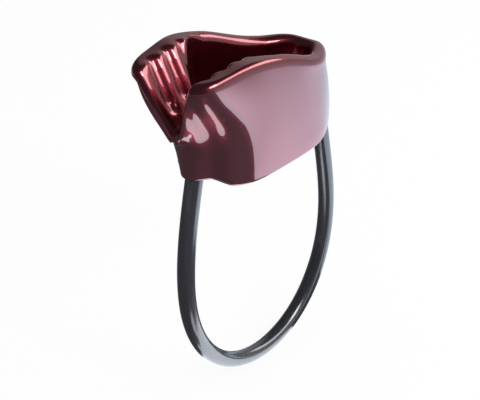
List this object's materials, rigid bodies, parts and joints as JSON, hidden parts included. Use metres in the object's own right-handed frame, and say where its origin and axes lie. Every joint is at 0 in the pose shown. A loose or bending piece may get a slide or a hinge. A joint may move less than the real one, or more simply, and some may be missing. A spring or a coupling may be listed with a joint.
{
  "type": "tube belay device",
  "caption": "Tube belay device: a forged, anodised body with a rope slot, a ribbed V groove for braking and a springy coated wire keeper loop.",
  "frame": {"origin": "inside of the loop's lowest point, where the carabiner bears, with the loop hanging down", "axes": "+Z from the loop up to the body's rim, +X from the ribbed brake groove to the plain back end, the loop lies in the plane Y = 0"},
  "size_m": [0.0663, 0.0318, 0.1036],
  "materials": {
    "anodised_body": "polished and anodised dark red",
    "ferrule_steel": "plain turned",
    "wire_steel": "galvanised",
    "loop_jacket": "smooth, semi-gloss black"
  },
  "bodies": {
    "body": {"body": "anodised_body", "front_ferrule": "ferrule_steel", "back_ferrule": "ferrule_steel", "front_wire_end": "wire_steel", "back_wire_end": "wire_steel"},
    "loop": {"loop_sleeve": "loop_jacket", "wire_core_strand": "wire_steel", "wire_strand_1": "wire_steel", "wire_strand_2": "wire_steel", "wire_strand_3": "wire_steel", "wire_strand_4": "wire_steel", "wire_strand_5": "wire_steel", "wire_strand_6": "wire_steel"}
  },
  "joints": [
    {"name": "loop_swing", "type": "hinge", "parent": "body", "child": "loop", "pos_m": [0, 0, 0.0665], "axis": [1, 0, 0], "range_deg": [-30, 30], "stiffness_Nm_per_rad": 0.3}
  ]
}
